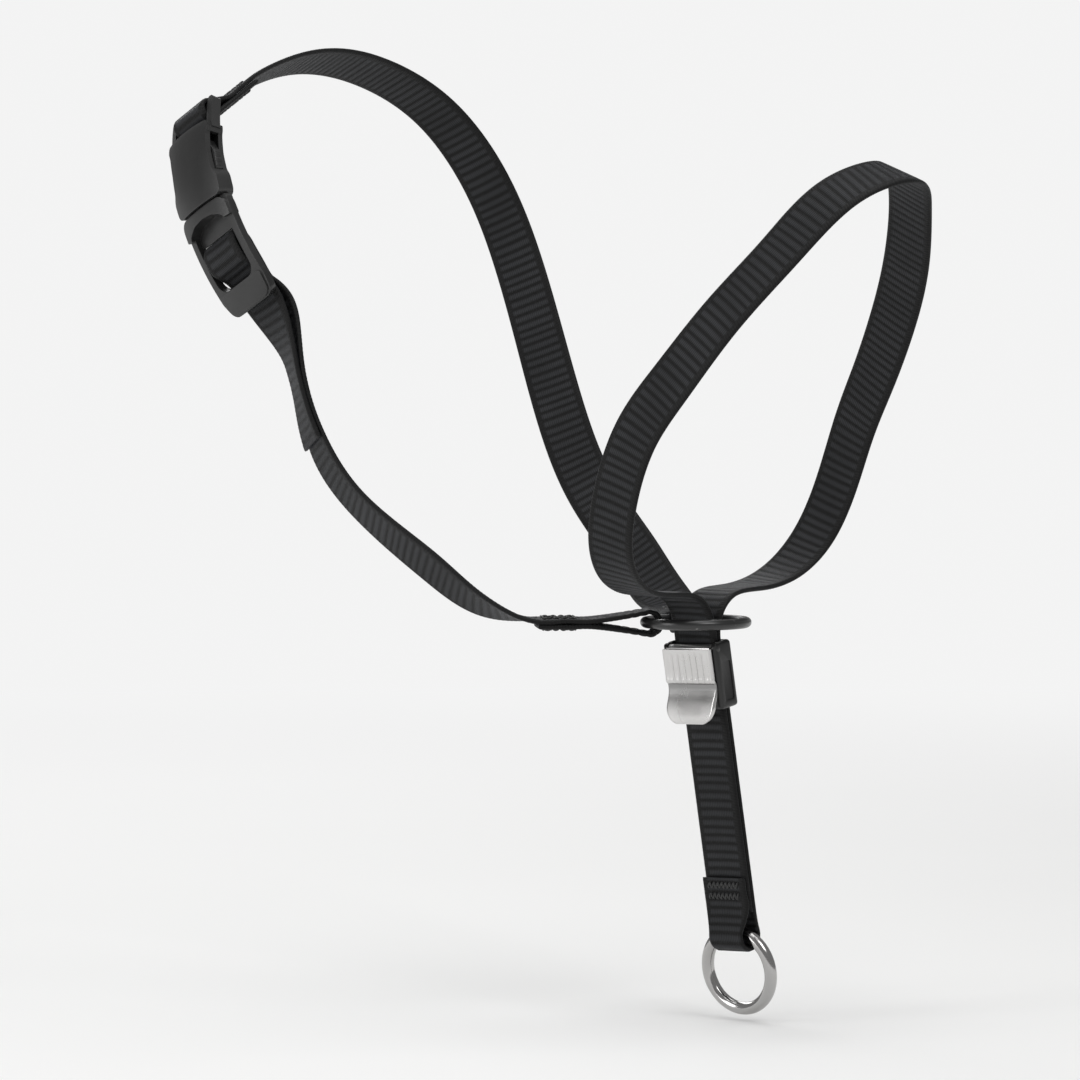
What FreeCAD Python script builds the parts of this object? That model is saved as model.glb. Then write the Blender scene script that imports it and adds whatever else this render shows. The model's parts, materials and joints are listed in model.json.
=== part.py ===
import FreeCAD, Part
import math
import os

"""Dog head halter: nose loop and neck loop of half-inch webbing, joined under the chin by a ring.

Units are millimetres. The origin is the centre of the ring under the chin.
+X points forward along the dog's nose, +Y to the dog's left, +Z up.
"""

V = FreeCAD.Vector

# Webbing
STRAP_WIDTH = 12.7
STRAP_THICK = 1.2
LAYER_PITCH = 1.3          # distance between two sewn layers, thread gap included
PINCHED_WIDTH = 10.0       # webbing gathered where it turns round a ring
SAMPLE_STEP = 2.4          # spacing of the cross-sections along a strap
FACE_SAMPLES = 8           # cross-sections joined by one set of long faces

# Ring under the chin, lying flat
CHIN_RING_RADIUS = 12.0
CHIN_WIRE_RADIUS = 1.25
CHIN_LOOP_CENTRE = 11.4    # where the neck webbing turns round the ring's wire
CHIN_LOOP_RADIUS = 2.7
FOLD_START = 25.0          # the fold-back is sewn between these two distances
FOLD_END = 38.0

# Control strap hanging from the chin ring, its foot leaning to the dog's left
CONTROL_SIDE_LEAN = 9.3
CONTROL_FORWARD_LEAN = 2.0
LEASH_RING_RADIUS = 9.5
LEASH_WIRE_RADIUS = 1.5
LEASH_LOOP_Z = -76.2       # axis the leash ring swings on, along the strap
LEASH_LOOP_RADIUS = 3.4
SEAM_TOP_Z = -62.0
SEAM_BOTTOM_Z = -70.0

# Stitching
THREAD_PROUD = 0.3
THREAD_GAP = 0.09
TACK_HALF = 4.4
TACK_LENGTH = 1.3
SIDE_LINE = 0.7
LEASH_BOX = (0.8, 4.2)     # where each box of stitches starts, and how long it is
CHIN_BOX = (FOLD_START + 4, 7.8)
BUCKLE_BOX = (10.8, 6.2)

# Cam clamp on the control strap
CLAMP_HALF_WIDTH = 8.0
CLAMP_INNER_HALF = 6.65
CLAMP_TOP = -4.4
CLAMP_BOTTOM = -20.5
CLAMP_BACK_INNER = 1.35
CLAMP_BACK_OUTER = 2.5
CHEEK_FRONT = -3.9
CHEEK_ROUNDING = 0.8
PIN_Y = -2.65
PIN_Z = -5.9
PIN_RADIUS = 0.6
PIN_CLEARANCE = 0.05
EAR_RADIUS = 1.3
SILL_HEIGHT = 3.0
HUB_RADIUS = 1.1
TOOTH_RADIUS = 0.33
TOOTH_ANGLES = (15, -15, -45)
LEVER_HALF_WIDTH = 7.6
LEVER_INNER = -4.0
LEVER_OUTER = -5.4
LIP_ROUNDING = 1.6
FACE_RIBS = 7
FACE_RIB_SPACING = 1.8
FACE_RIB_RADIUS = 0.3
FACE_RIB_BOTTOM = -13.0
FACE_RIB_LENGTH = 5.6

# Contoured buckle on the right of the neck, curved to one arc
ARC_CENTRE = V(-95.0, 0.4, 98.3)
ARC_RADIUS = 56.0
ARC_WIDE = V(0.884, -0.137, 0.445).normalize()                     # across the webbing
ARC_SIDE = ARC_WIDE.cross(V(-0.465, -0.182, 0.867)).normalize()    # outward at the slider's middle
ARC_UP = ARC_SIDE.cross(ARC_WIDE)                                  # along the webbing there
ARC_START = 14.0                  # the slider's middle is this far below the joint line
BUCKLE_HALF_WIDTH = 8.75
MALE_LOW = 1.35                   # heights above the webbing's arc
MALE_HIGH = 4.25
MALE_LENGTH = 25.5
LIP_LENGTH = 2.9
LIP_INSET = 0.15
NEAR_SLOT = (-9.7, -3.2)          # open recess behind the lip, where the webbing comes up
FAR_SLOT = (-19.2, -14.0)         # where it goes back down
SLOT_HALF_WIDTH = 6.85
SUNKEN_BAR_TOP = 3.0              # the middle bar lies lower than the frame
RECESS_FLOOR = (-7.0, -2.8)       # thin floor between the lip and the webbing
RECESS_FLOOR_TOP = 2.3
TONGUE_LENGTH = 12.5
TONGUE_HALF_WIDTH = 1.5
HOUSING_LOW = -0.5
HOUSING_HIGH = 6.1
CAVITY_LOW = 1.15
CAVITY_HIGH = 4.45
CAVITY_HALF_WIDTH = 7.3
HOUSING_LENGTH = 18.5
WINDOW = (6.3, 15.9)              # side openings for the prongs
CHEEK_INNER_HALF = 6.75           # the cheeks carry the sewing bar
CHEEK_HEIGHTS = (0.8, 4.5)
FEMALE_BAR_S = 23.4
FEMALE_BAR_RADIUS = 1.5
FEMALE_BAR_V = 2.6
PRONG_LENGTH = 15.0
FOLD_TURN = 75.0                  # the sewn fold leaves the bar this far round towards the nape
FOLD_DROP = 1.2                   # and lies this far inside the bar's centre
FOLD_STOPS = (7.6, 11.1, 14.6, 18.6)
STRAP_EXIT = 28.0                 # where the webbing leaves the slider, below the joint line


# ---------------------------------------------------------------- curves

def smooth_through(stations, step):
    """Natural cubic spline through rows of numbers whose first three are a point."""
    knots = [0.0]
    for here, there in zip(stations, stations[1:]):
        knots.append(knots[-1] + math.sqrt(math.dist(here[:3], there[:3])))
    spans = [b - a for a, b in zip(knots, knots[1:])]
    size = len(stations[0])
    count = len(stations)
    bends = [[0.0] * size for _ in range(count)]
    for c in range(size):
        upper = [0.0] * count
        right = [0.0] * count
        for i in range(1, count - 1):
            slope_after = (stations[i + 1][c] - stations[i][c]) / spans[i]
            slope_before = (stations[i][c] - stations[i - 1][c]) / spans[i - 1]
            pivot = 2 * (spans[i - 1] + spans[i]) - spans[i - 1] * upper[i - 1]
            upper[i] = spans[i] / pivot
            right[i] = (6 * (slope_after - slope_before) - spans[i - 1] * right[i - 1]) / pivot
        for i in range(count - 2, 0, -1):
            bends[i][c] = right[i] - upper[i] * bends[i + 1][c]
    rows = []
    for i in range(count - 1):
        pieces = max(1, math.ceil(math.dist(stations[i][:3], stations[i + 1][:3]) / step))
        last = 1 if i == count - 2 else 0
        for k in range(pieces + last):
            a = 1 - k / pieces
            b = k / pieces
            curl_a = (a ** 3 - a) * spans[i] ** 2 / 6
            curl_b = (b ** 3 - b) * spans[i] ** 2 / 6
            rows.append([
                a * stations[i][c] + b * stations[i + 1][c]
                + curl_a * bends[i][c] + curl_b * bends[i + 1][c]
                for c in range(size)
            ])
    return rows


def station(point, normal, width=STRAP_WIDTH):
    return (point.x, point.y, point.z, normal.x, normal.y, normal.z, width)


def cross_sections(rows):
    """(centre, outward normal, across, half width) at every row, square to the path."""
    points = [V(*row[:3]) for row in rows]
    sections = []
    for i, row in enumerate(rows):
        before = points[max(i - 1, 0)]
        after = points[min(i + 1, len(points) - 1)]
        along = (after - before).normalize()
        normal = V(*row[3:6])
        normal = (normal - along * normal.dot(along)).normalize()
        sections.append((points[i], normal, along.cross(normal), row[6] / 2))
    return sections


def webbing(stations):
    """Flat webbing swept along a path: ruled faces in short lengths, and two square ends."""
    sections = cross_sections(smooth_through(stations, SAMPLE_STEP))
    half = STRAP_THICK / 2
    travelled = [0.0]
    for here, there in zip(sections, sections[1:]):
        travelled.append(travelled[-1] + here[0].distanceToPoint(there[0]))
    corner_lines = []
    for side, face in ((1, 1), (1, -1), (-1, -1), (-1, 1)):
        corner = [p + w * (side * hw) + n * (face * half) for p, n, w, hw in sections]
        line = Part.BSplineCurve()
        line.interpolate(Points=corner, Parameters=travelled)
        corner_lines.append(line)
    breaks = travelled[::FACE_SAMPLES]
    if len(breaks) < 2 or travelled[-1] - breaks[-1] > 0.01:
        breaks.append(travelled[-1])
    faces = []
    for first, last in zip(breaks, breaks[1:]):
        edges = [line.toShape(first, last) for line in corner_lines]
        faces += [Part.makeRuledSurface(edges[i], edges[(i + 1) % 4], 1) for i in range(4)]
    for end in (travelled[0], travelled[-1]):
        corners = [line.value(end) for line in corner_lines]
        faces.append(Part.Face(Part.makePolygon(corners + corners[:1])))
    shell = Part.makeShell(faces)
    shell.sewShape()
    solid = Part.makeSolid(shell if shell.ShapeType == "Shell" else shell.Shells[0])
    if solid.Volume < 0:
        solid.reverse()
    return solid


# ---------------------------------------------------------------- local frames

def on_control(x, y, z):
    """Point or direction given in the leaning frame of the control strap."""
    forward = math.radians(CONTROL_FORWARD_LEAN)
    side = math.radians(CONTROL_SIDE_LEAN)
    height = x * math.sin(forward) + z * math.cos(forward)
    return V(
        x * math.cos(forward) - z * math.sin(forward),
        y * math.cos(side) - height * math.sin(side),
        y * math.sin(side) + height * math.cos(side),
    )


def lean_over(shape):
    """Turn a shape built upright into the frame of the control strap."""
    shape.rotate(V(0, 0, 0), V(0, 1, 0), -CONTROL_FORWARD_LEAN)
    shape.rotate(V(0, 0, 0), V(1, 0, 0), CONTROL_SIDE_LEAN)
    return shape


def arc_directions(s):
    """(outward, along) at arc length s from the buckle's joint line, on the dog's right."""
    turn = (s + ARC_START) / ARC_RADIUS
    outward = ARC_SIDE * math.cos(turn) + ARC_UP * math.sin(turn)
    along = ARC_UP * math.cos(turn) - ARC_SIDE * math.sin(turn)
    return outward, along


def on_arc(s, v=0.0, w=0.0):
    outward, _ = arc_directions(s)
    return ARC_CENTRE + outward * (ARC_RADIUS + v) + ARC_WIDE * w


def arc_block(s, v, w):
    """Curved block between two arc lengths s, two heights v and two widths w."""
    middle = (s[0] + s[1]) / 2
    low = [on_arc(s[0], v[0], w[0]), on_arc(middle, v[0], w[0]), on_arc(s[1], v[0], w[0])]
    high = [on_arc(s[1], v[1], w[0]), on_arc(middle, v[1], w[0]), on_arc(s[0], v[1], w[0])]
    outline = Part.Wire([
        Part.Arc(*low).toShape(),
        Part.makeLine(low[2], high[0]),
        Part.Arc(*high).toShape(),
        Part.makeLine(high[2], low[0]),
    ])
    return Part.Face(outline).extrude(ARC_WIDE * (w[1] - w[0]))


def arc_prism(outline, v):
    """Plate cut to an outline of (s, w) corners, between two heights, flat across the arc."""
    middle = sum(s for s, _ in outline) / len(outline)
    outward, along = arc_directions(middle)
    base = on_arc(middle, v[0])
    corners = [base + along * (s - middle) + ARC_WIDE * w for s, w in outline]
    return Part.Face(Part.makePolygon(corners + corners[:1])).extrude(outward * (v[1] - v[0]))


def arc_rod(s, v, radius, half_width):
    return Part.makeCylinder(radius, 2 * half_width, on_arc(s, v, -half_width), ARC_WIDE)


# ---------------------------------------------------------------- webbing pieces

def nose_cheek():
    """Stations of the nose loop on the dog's right, from the chin ring to the bridge of the nose."""
    return [
        station(V(0.3, -1.9, 2.0), V(0, -0.93, -0.36)),
        station(V(0.4, -6.8, 6.4), V(0, -0.35, -0.93)),
        station(V(0.6, -18, 7.6), V(0, -0.2, -0.98)),
        station(V(2.2, -29.5, 10.6), V(-0.04, -0.5, -0.86)),
        station(V(5.2, -38, 18.5), V(-0.03, -0.87, -0.5)),
        station(V(9.5, -41.8, 31), V(0.02, -0.99, -0.12)),
        station(V(15.5, -41.6, 46), V(0.04, -0.99, 0.05)),
        station(V(23.6, -38.6, 58.4), V(0, -0.99, 0.12)),
        station(V(34.2, -33, 73.8), V(0.05, -0.93, 0.36)),
        station(V(44.4, -24.4, 88.6), V(0.2, -0.75, 0.63)),
        station(V(53, -13.5, 102), V(0.36, -0.42, 0.83)),
    ]


def control_leg(heights, side, layer=0.5):
    """Straight webbing of the control strap; side is -1 right, 1 left, layer counts from the middle."""
    offset = side * layer * LAYER_PITCH
    return [station(on_control(0, offset, z), on_control(0, side, 0)) for z in heights]


def nose_strap():
    """One length of webbing: two legs side by side, over the nose, and round the leash ring."""
    leg_heights = (-50, -38, -26, -14, -8, -3)
    right_leg = control_leg((SEAM_BOTTOM_Z - 0.5, -66, -62, *leg_heights), -1)
    top = station(V(58.5, 0, 106.8), V(0.36, 0, 0.93))
    left_cheek = [mirror_station(row) for row in reversed(nose_cheek())]
    left_leg = control_leg((*reversed(leg_heights), -62, -66, -69.6), 1)
    loop = []
    for degrees in range(20, -201, -20):
        turn = math.radians(degrees)
        reach = V(0, math.cos(turn), math.sin(turn))
        spot = on_control(0, -LAYER_PITCH / 2 + LEASH_LOOP_RADIUS * reach.y,
                          LEASH_LOOP_Z + LEASH_LOOP_RADIUS * reach.z)
        loop.append(station(spot, on_control(*reach), PINCHED_WIDTH))
    fold_back = control_leg((-69.6, -66, SEAM_TOP_Z), -1, 1.5)
    return webbing(right_leg + nose_cheek() + [top] + left_cheek + left_leg + loop + fold_back)


def mirror_station(row):
    """The same station on the dog's other side."""
    x, y, z, nx, ny, nz, width = row
    return (x, -y, z, nx, -ny, nz, width)


def chin_fold():
    """Right-hand stations: the fold-back's end, round the chin ring, and back out below the jaw."""
    outwards = V(-1, -1, 0).normalize()
    down = V(0, 0, -1)

    def spot(distance, height):
        return outwards * distance + V(0, 0, height)

    layer = LAYER_PITCH / 2
    rows = [station(spot(d, -layer), -down) for d in (FOLD_END, 33, 29, FOLD_START)]
    for degrees in range(-70, -291, -20):
        turn = math.radians(degrees)
        reach = outwards * math.cos(turn) + V(0, 0, math.sin(turn))
        centre = outwards * CHIN_LOOP_CENTRE
        rows.append(station(centre + reach * CHIN_LOOP_RADIUS, -reach, PINCHED_WIDTH))
    rows += [station(spot(d, layer), down) for d in (FOLD_START, 29, 33, FOLD_END)]
    return rows


def neck_side():
    """Right-hand stations from the chin up to where the webbing reaches the buckle."""
    return [
        station(V(-38.2, -33.4, 4.2), V(-0.1, -0.6, -0.79)),
        station(V(-50, -38.2, 12.8), V(-0.1, -0.8, -0.6)),
        station(V(-67.6, -43.7, 27), V(-0.25, -0.8, -0.54)),
        station(V(-78.7, -46.5, 42.1), V(-0.4, -0.85, -0.35)),
        station(V(-84.4, -47, 59.6), V(-0.55, -0.8, -0.35)),
    ]


def on_arc_station(s, v):
    outward, _ = arc_directions(s)
    return station(on_arc(s, v), outward)


def neck_strap_right():
    """Adjustable half: up from the chin, behind the slider, over its middle bar, tail back down."""
    layer = LAYER_PITCH / 2
    up_side = chin_fold() + neck_side()
    outward, _ = arc_directions(-STRAP_EXIT)
    leaving = station(on_arc(-STRAP_EXIT, -1.2, 0.8), outward)
    behind_slider = [leaving] + [on_arc_station(s, -layer) for s in (-23, -18, -13.4)]
    outward, along = arc_directions(-9)

    def turned(s, v, lean):
        """Station whose face leans from outward towards the chin end."""
        angle = math.radians(lean)
        normal = outward * math.cos(angle) - along * math.sin(angle)
        return station(on_arc(s, v), normal)

    over_bar = [
        turned(-10.3, -0.3, 25), turned(-8.15, 1.5, 88), turned(-9.6, 3.85, 168),
        turned(-12, 4.2, 180), turned(-14.4, 3.75, 198), turned(-16.2, 2.0, 224),
    ]
    loaded = smooth_through([*up_side, behind_slider[0]], 6.0)
    tail_rows = [row for row in loaded if row[2] > 41][::-1][1:]
    tail = [station(on_arc(s, layer), -arc_directions(s)[0]) for s in (-18.8, -22, -26)]
    for point, normal, _, _ in cross_sections(tail_rows)[1:]:
        tail.append(station(point + normal * LAYER_PITCH, -normal))
    return webbing(up_side + behind_slider + over_bar + tail)


def bar_fold_frame():
    """(bar's centre, along, outward) of the sewn fold that leaves the buckle's bar."""
    turn = math.radians(FOLD_TURN)
    along = ARC_UP * math.cos(turn) - ARC_SIDE * math.sin(turn)
    outward = ARC_SIDE * math.cos(turn) + ARC_UP * math.sin(turn)
    return on_arc(FEMALE_BAR_S, FEMALE_BAR_V), along, outward


def nape():
    """Stations over the back of the neck, from the fold's end down the left side."""
    return [
        station(V(-117, -18, 132), V(-0.46, -0.22, 0.86)),
        station(V(-118.2, 0, 134), V(-0.46, 0, 0.89)),
        station(V(-117.6, 18, 131.3), V(-0.43, 0.36, 0.83)),
        station(V(-114.4, 38, 121.5), V(-0.36, 0.72, 0.59)),
        station(V(-108.4, 50.5, 104), V(-0.34, 0.91, 0.2)),
        station(V(-100, 53, 84), V(-0.34, 0.93, -0.1)),
        station(V(-89.6, 50.2, 62.5), V(-0.36, 0.89, -0.25)),
    ]


def neck_strap_left():
    """Fixed half: sewn round the buckle's bar, over the nape, down the left side to the chin ring."""
    centre, along, outward = bar_fold_frame()

    def fold(distance, side):
        spot = centre + along * distance + outward * (side * LAYER_PITCH / 2 - FOLD_DROP)
        return station(spot, outward * side)

    rows = [fold(d, -1) for d in reversed(FOLD_STOPS)]
    for degrees in range(-60, -301, -30):
        turn = math.radians(degrees)
        reach = along * math.cos(turn) + outward * math.sin(turn)
        rows.append(station(centre + reach * (FEMALE_BAR_RADIUS + 0.2 + STRAP_THICK / 2), reach))
    rows += [fold(d, 1) for d in FOLD_STOPS]
    down_side = [mirror_station(row) for row in reversed(neck_side()[:-1])]
    return webbing(rows + nape() + down_side + [mirror_station(row) for row in reversed(chin_fold())])


# ---------------------------------------------------------------- rings and stitching

def chin_ring():
    return Part.makeTorus(CHIN_RING_RADIUS, CHIN_WIRE_RADIUS)


def leash_ring():
    """Round ring whose top wire lies in the webbing loop, hanging in the strap's own plane."""
    wire_top = LEASH_LOOP_Z + 0.75
    centre = V(0, -LAYER_PITCH / 2, wire_top - LEASH_RING_RADIUS)
    return lean_over(Part.makeTorus(LEASH_RING_RADIUS, LEASH_WIRE_RADIUS, centre, V(0, 1, 0)))


def flat_blocks(origin, along, outward, across):
    """A maker of square blocks in a flat frame, called like arc_block."""
    def block(s, v, w):
        corner = origin + along * s[0] + outward * v[0] + across * w[0]
        side = along * (s[1] - s[0])
        rise = outward * (v[1] - v[0])
        corners = [corner, corner + side, corner + side + rise, corner + rise, corner]
        return Part.Face(Part.makePolygon(corners)).extrude(across * (w[1] - w[0]))
    return block


def box_stitch(block, extent, layers):
    """Thread on both faces of a sewn stack: a bar tack at each end and a line down each side."""
    surface = layers * LAYER_PITCH / 2 - (LAYER_PITCH - STRAP_THICK) / 2 + THREAD_GAP
    start, length = extent
    far = start + length
    faces = []
    for level in ((surface, surface + THREAD_PROUD), (-surface - THREAD_PROUD, -surface)):
        bars = [
            block((start, start + TACK_LENGTH), level, (-TACK_HALF, TACK_HALF)),
            block((far - TACK_LENGTH, far), level, (-TACK_HALF, TACK_HALF)),
            block((start, far), level, (-TACK_HALF, SIDE_LINE - TACK_HALF)),
            block((start, far), level, (TACK_HALF - SIDE_LINE, TACK_HALF)),
        ]
        faces.append(bars[0].fuse(bars[1:]).removeSplitter().Solids[0])
    return Part.makeCompound(faces)


def leash_end_stitching():
    """Box of stitches through the three layers above the leash ring."""
    origin = on_control(0, -LAYER_PITCH / 2, SEAM_TOP_Z)
    block = flat_blocks(origin, on_control(0, 0, -1), on_control(0, -1, 0), on_control(1, 0, 0))
    return box_stitch(block, LEASH_BOX, 3)


def chin_stitching(side):
    """Box of stitches through the fold-back beside the chin ring; side is -1 right, 1 left."""
    outwards = V(-1, side, 0).normalize()
    block = flat_blocks(V(0, 0, 0), outwards, V(0, 0, 1), outwards.cross(V(0, 0, 1)))
    return box_stitch(block, CHIN_BOX, 2)


def buckle_stitching():
    """Box of stitches through the fold behind the buckle's bar."""
    centre, along, outward = bar_fold_frame()
    block = flat_blocks(centre - outward * FOLD_DROP, along, outward, ARC_WIDE)
    return box_stitch(block, BUCKLE_BOX, 2)


# ---------------------------------------------------------------- buckle

def buckle_female():
    """Housing with side windows for the prongs and a sewing bar at its far end."""
    body = arc_block((0.05, HOUSING_LENGTH), (HOUSING_LOW, HOUSING_HIGH),
                     (-BUCKLE_HALF_WIDTH, BUCKLE_HALF_WIDTH))
    body = soften(body, 1.2)
    cavity = arc_block((-1, HOUSING_LENGTH - 1.6), (CAVITY_LOW, CAVITY_HIGH),
                       (-CAVITY_HALF_WIDTH, CAVITY_HALF_WIDTH))
    windows = arc_block(WINDOW, (CAVITY_LOW, CAVITY_HIGH), (-12, 12))
    body = body.cut(cavity).cut(windows)
    reach = FEMALE_BAR_S + FEMALE_BAR_RADIUS + 0.6
    for side in (1, -1):
        width = sorted((CHEEK_INNER_HALF * side, BUCKLE_HALF_WIDTH * side))
        body = body.fuse(arc_block((HOUSING_LENGTH - 1.2, reach), CHEEK_HEIGHTS, width))
    bar = arc_rod(FEMALE_BAR_S, FEMALE_BAR_V, FEMALE_BAR_RADIUS, CHEEK_INNER_HALF + 0.45)
    return body.fuse(bar).removeSplitter()


def soften(shape, radius):
    """Round every edge of a plain block, or leave it sharp where that can't be done."""
    try:
        rounded = shape.makeFillet(radius, shape.Edges)
        if rounded.isValid() and rounded.Volume > 0:
            return rounded
    except Part.OCCError:
        pass
    return shape


def buckle_male():
    """Slider frame with two slots, and the tongue that guides it into the housing."""
    full_width = (-BUCKLE_HALF_WIDTH, BUCKLE_HALF_WIDTH)
    slot_width = (-SLOT_HALF_WIDTH, SLOT_HALF_WIDTH)
    opening = (FAR_SLOT[0], NEAR_SLOT[1])
    middle_bar = (FAR_SLOT[1], NEAR_SLOT[0])
    frame = soften(arc_block((-MALE_LENGTH, 0), (MALE_LOW, MALE_HIGH), full_width), 0.9)
    lip_width = (LIP_INSET - BUCKLE_HALF_WIDTH, BUCKLE_HALF_WIDTH - LIP_INSET)
    lip = arc_block((-LIP_LENGTH, -LIP_INSET / 3), (MALE_LOW + 0.3, HOUSING_HIGH - 0.4), lip_width)
    lip = soften(lip, 0.6)
    frame = frame.fuse(lip)
    frame = frame.cut(arc_block(opening, (0, HOUSING_HIGH + 2), slot_width))
    bar_width = (-SLOT_HALF_WIDTH - 0.6, SLOT_HALF_WIDTH + 0.6)
    frame = frame.fuse(arc_block(middle_bar, (MALE_LOW + 0.1, SUNKEN_BAR_TOP), bar_width))
    frame = frame.fuse(arc_block(RECESS_FLOOR, (MALE_LOW + 0.1, RECESS_FLOOR_TOP), bar_width))
    tongue = arc_block((-0.5, TONGUE_LENGTH), (MALE_LOW, MALE_HIGH),
                       (-TONGUE_HALF_WIDTH, TONGUE_HALF_WIDTH))
    return frame.fuse(tongue).removeSplitter()


def prong(side):
    """Springy arm with a barbed head that shows in the housing's side window."""
    outline = [(0.1, 3.4), (0.1, 6.0), (6.6, 5.9), (6.8, 8.3), (10.5, 8.3), (PRONG_LENGTH, 5.6),
               (PRONG_LENGTH, 3.9), (9.0, 3.9)]
    arm = arc_prism([(s, side * w) for s, w in outline], (-4, 12))
    shell = arc_block((0.1, PRONG_LENGTH), (MALE_LOW + 0.05, MALE_HIGH - 0.05), (-9, 9))
    return arm.common(shell)


# ---------------------------------------------------------------- clamp

def side_plate(outline, x):
    """Solid from a closed outline of (y, z) edges, between two x positions."""
    face = Part.Face(Part.Wire(outline))
    face.translate(V(x[0], 0, 0))
    return face.extrude(V(x[1] - x[0], 0, 0))


def lines(points):
    return [Part.makeLine(V(0, *a), V(0, *b)) for a, b in zip(points, points[1:])]


def curve(start, through, end):
    return Part.Arc(V(0, *start), V(0, *through), V(0, *end)).toShape()


def clamp_body():
    """Channel round the two legs, with ears that carry the lever's pin."""
    height = CLAMP_TOP - CLAMP_BOTTOM
    depth = CLAMP_BACK_OUTER - CHEEK_FRONT
    block = Part.makeBox(2 * CLAMP_HALF_WIDTH, depth, height,
                         V(-CLAMP_HALF_WIDTH, CHEEK_FRONT, CLAMP_BOTTOM))
    block = block.makeFillet(CHEEK_ROUNDING, [e for e in block.Edges if e.BoundBox.ZLength > 1])
    channel = Part.makeBox(2 * CLAMP_INNER_HALF, CLAMP_BACK_INNER - CHEEK_FRONT + 1, height + 2,
                           V(-CLAMP_INNER_HALF, CHEEK_FRONT - 1, CLAMP_BOTTOM - 1))
    sweep = Part.makeBox(40, 4, 4, V(-20, CHEEK_FRONT - 2, PIN_Z + 0.4))
    ear = Part.makeCylinder(EAR_RADIUS, 40, V(-20, PIN_Y, PIN_Z), V(1, 0, 0))
    block = block.cut(channel).cut(sweep.cut(ear))
    hole = Part.makeCylinder(PIN_RADIUS, 40, V(-20, PIN_Y, PIN_Z), V(1, 0, 0))
    sill = Part.makeBox(2 * CLAMP_INNER_HALF + 1, 1.2, SILL_HEIGHT,
                        V(-CLAMP_INNER_HALF - 0.5, -2.9, CLAMP_BOTTOM))
    return lean_over(block.cut(hole).fuse(sill).removeSplitter())


def clamp_pin():
    return lean_over(Part.makeCylinder(PIN_RADIUS, 2 * CLAMP_HALF_WIDTH - 0.2,
                                       V(0.1 - CLAMP_HALF_WIDTH, PIN_Y, PIN_Z), V(1, 0, 0)))


def clamp_lever():
    """Flip lever: flat ribbed face, hollow band and flared thumb lip, with a toothed cam hub."""
    outer = [(LEVER_OUTER, PIN_Z), (LEVER_OUTER, -13.6)]
    band = ((-4.8, -15.4), (-5.3, -17.2))
    lip_end = (-7.1, -24.0)
    inner_end = (-6.3, -24.4)
    band_inner = (LEVER_INNER, -17.4)
    outline = lines(outer) + [
        curve(outer[1], *band),
        curve(band[1], (-6.9, -20.6), lip_end),
        *lines([lip_end, inner_end]),
        curve(inner_end, (-5.9, -20.8), band_inner),
        *lines([band_inner, (LEVER_INNER, PIN_Z), outer[0]]),
    ]
    plate = side_plate(outline, (-LEVER_HALF_WIDTH, LEVER_HALF_WIDTH))
    plate = plate.makeFillet(LIP_ROUNDING, [e for e in plate.Edges if is_lip_corner(e)])
    hub_half = CLAMP_INNER_HALF - 0.15
    hub = Part.makeCylinder(HUB_RADIUS, 2 * hub_half, V(-hub_half, PIN_Y, PIN_Z), V(1, 0, 0))
    web = Part.makeBox(2 * hub_half, PIN_Y - LEVER_INNER + 0.3, 1.6,
                       V(-hub_half, LEVER_INNER - 0.3, PIN_Z - 1.1))
    bore = Part.makeCylinder(PIN_RADIUS + PIN_CLEARANCE, 40, V(-20, PIN_Y, PIN_Z), V(1, 0, 0))
    lever = plate.fuse([hub, web])
    for degrees in TOOTH_ANGLES:
        turn = math.radians(degrees)
        spot = V(-hub_half, PIN_Y + math.cos(turn), PIN_Z + math.sin(turn))
        lever = lever.fuse(Part.makeCylinder(TOOTH_RADIUS, 2 * hub_half, spot, V(1, 0, 0)))
    lever = lever.cut(bore)
    for k in range(FACE_RIBS):
        foot = V((k - (FACE_RIBS - 1) / 2) * FACE_RIB_SPACING, LEVER_OUTER, FACE_RIB_BOTTOM)
        lever = lever.fuse(Part.makeCylinder(FACE_RIB_RADIUS, FACE_RIB_LENGTH, foot, V(0, 0, 1)))
    return lean_over(lever.removeSplitter())


def is_lip_corner(edge):
    """The two short edges through the plate at the foot of the thumb lip."""
    box = edge.BoundBox
    return box.XLength < 0.01 and box.ZMax < -23.5 and box.ZLength < 1.0


# ---------------------------------------------------------------- writing

def build():
    return {
        "nose_strap": nose_strap(),
        "neck_strap_right": neck_strap_right(),
        "neck_strap_left": neck_strap_left(),
        "chin_ring": chin_ring(),
        "leash_ring": leash_ring(),
        "leash_end_stitching": leash_end_stitching(),
        "chin_stitching_right": chin_stitching(-1),
        "chin_stitching_left": chin_stitching(1),
        "buckle_stitching": buckle_stitching(),
        "buckle_female": buckle_female(),
        "buckle_male": buckle_male(),
        "prong_upper": prong(1),
        "prong_lower": prong(-1),
        "clamp_body": clamp_body(),
        "clamp_pin": clamp_pin(),
        "clamp_lever": clamp_lever(),
    }


def write(shapes):
    os.makedirs("parts", exist_ok=True)
    for name, shape in shapes.items():
        print(name, "solids", len(shape.Solids), "valid", shape.isValid(), "volume", round(shape.Volume, 1))
        shape.exportStep("parts/" + name + ".step")


write(build())
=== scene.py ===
import json
import math

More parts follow.
